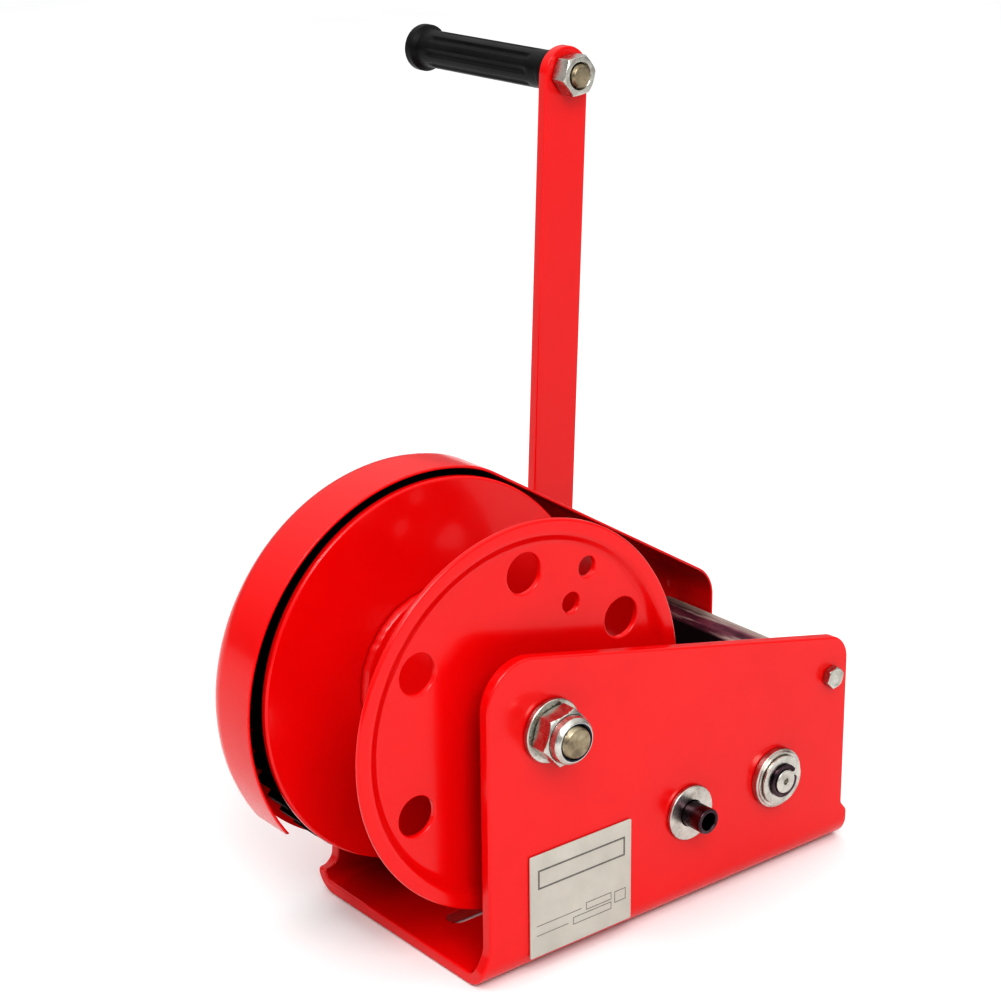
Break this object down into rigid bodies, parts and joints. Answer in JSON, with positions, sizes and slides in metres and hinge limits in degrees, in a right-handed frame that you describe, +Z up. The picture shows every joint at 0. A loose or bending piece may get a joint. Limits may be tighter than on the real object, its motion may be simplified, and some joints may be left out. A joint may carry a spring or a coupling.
{
  "type": "hand brake winch",
  "caption": "Geared hand winch: bent U frame, flanged cable drum, side gear case, screw load brake with ratchet, and a long flat crank arm with a turning grip.",
  "frame": {"origin": "middle of the base plate's underside", "axes": "+X along the shafts, from the gear and crank side to the data plate side; +Y to the rear, away from the drum; +Z up, the way the crank arm stands at rest"},
  "size_m": [0.3179, 0.2985, 0.3857],
  "materials": {
    "red_paint": "glossy bright red enamel",
    "zinc_plate": "bright zinc plating",
    "black_steel": "black phosphated steel",
    "bronze": "sintered bronze",
    "brake_lining": "dark friction material",
    "black_grip": "satin black moulded grip",
    "data_plate": "plain off-white plate"
  },
  "bodies": {
    "frame": {"base_frame": "red_paint", "gear_case": "red_paint", "data_plate": "data_plate", "rear_brace": "black_steel", "brace_screw_near": "zinc_plate", "brace_screw_far": "zinc_plate", "case_screw_1": "zinc_plate", "case_screw_2": "zinc_plate", "case_screw_3": "zinc_plate", "axle_bolt": "zinc_plate", "axle_lock_nut": "zinc_plate", "axle_washer_near": "zinc_plate", "axle_washer_far": "zinc_plate", "axle_spacer_near": "zinc_plate", "axle_spacer_far": "zinc_plate", "mid_bush_near": "zinc_plate", "mid_bush_far": "bronze", "crank_bush_near": "zinc_plate", "crank_bush_far": "bronze", "pawl_pin": "zinc_plate", "pawl_spacer": "zinc_plate", "pawl_spring": "zinc_plate"},
    "drum": {"drum_flange_near": "red_paint", "drum_flange_far": "red_paint", "drum_barrel": "red_paint", "drum_gear": "zinc_plate", "gear_bolt_1": "zinc_plate", "gear_bolt_2": "zinc_plate", "gear_bolt_3": "zinc_plate", "gear_bolt_4": "zinc_plate", "drum_bush_near": "bronze", "drum_bush_far": "bronze"},
    "intermediate": {"mid_shaft": "black_steel", "mid_pinion": "black_steel", "mid_gear": "zinc_plate", "mid_spacer": "zinc_plate", "mid_ring_far": "black_steel"},
    "crank_drive": {"crank_shaft": "zinc_plate", "crank_pinion": "black_steel", "crank_ring_near": "black_steel", "crank_washer_near": "zinc_plate", "brake_flange": "zinc_plate", "crank_end_washer": "zinc_plate", "crank_end_nut": "zinc_plate"},
    "handle": {"brake_hub": "zinc_plate", "crank_arm": "red_paint", "grip_bolt": "zinc_plate", "grip_nut": "zinc_plate"},
    "grip": {"grip": "black_grip"},
    "ratchet": {"ratchet_wheel": "black_steel", "brake_lining_inner": "brake_lining", "brake_lining_outer": "brake_lining"},
    "pawl": {"pawl": "zinc_plate"}
  },
  "joints": [
    {"name": "drum_spin", "type": "hinge", "parent": "frame", "child": "drum", "pos_m": [0, -0.0783, 0.1196], "axis": [1, 0, 0], "continuous": true},
    {"name": "intermediate_spin", "type": "hinge", "parent": "frame", "child": "intermediate", "pos_m": [0, 0.00727, 0.0508], "axis": [1, 0, 0], "continuous": true},
    {"name": "crank_spin", "type": "hinge", "parent": "frame", "child": "crank_drive", "pos_m": [0, 0.06427, 0.05149], "axis": [1, 0, 0], "continuous": true},
    {"name": "brake_release", "type": "hinge", "parent": "crank_drive", "child": "handle", "pos_m": [0, 0.06427, 0.05149], "axis": [1, 0, 0], "range_deg": [0, 20]},
    {"name": "grip_spin", "type": "hinge", "parent": "handle", "child": "grip", "pos_m": [0, 0.07798, 0.372], "axis": [1, 0, 0], "continuous": true},
    {"name": "ratchet_spin", "type": "hinge", "parent": "frame", "child": "ratchet", "pos_m": [0, 0.06427, 0.05149], "axis": [1, 0, 0], "continuous": true},
    {"name": "pawl_swing", "type": "hinge", "parent": "frame", "child": "pawl", "pos_m": [0, 0.01827, 0.0895], "axis": [1, 0, 0], "range_deg": [0, 14], "stiffness_Nm_per_rad": 0.15, "springref_deg": -20.05, "deforming": ["pawl_spring"]}
  ],
  "couplings": [
    {"joint": "intermediate_spin", "follows": "drum_spin", "ratio": -5.7778},
    {"joint": "crank_spin", "follows": "drum_spin", "ratio": 12.519}
  ]
}
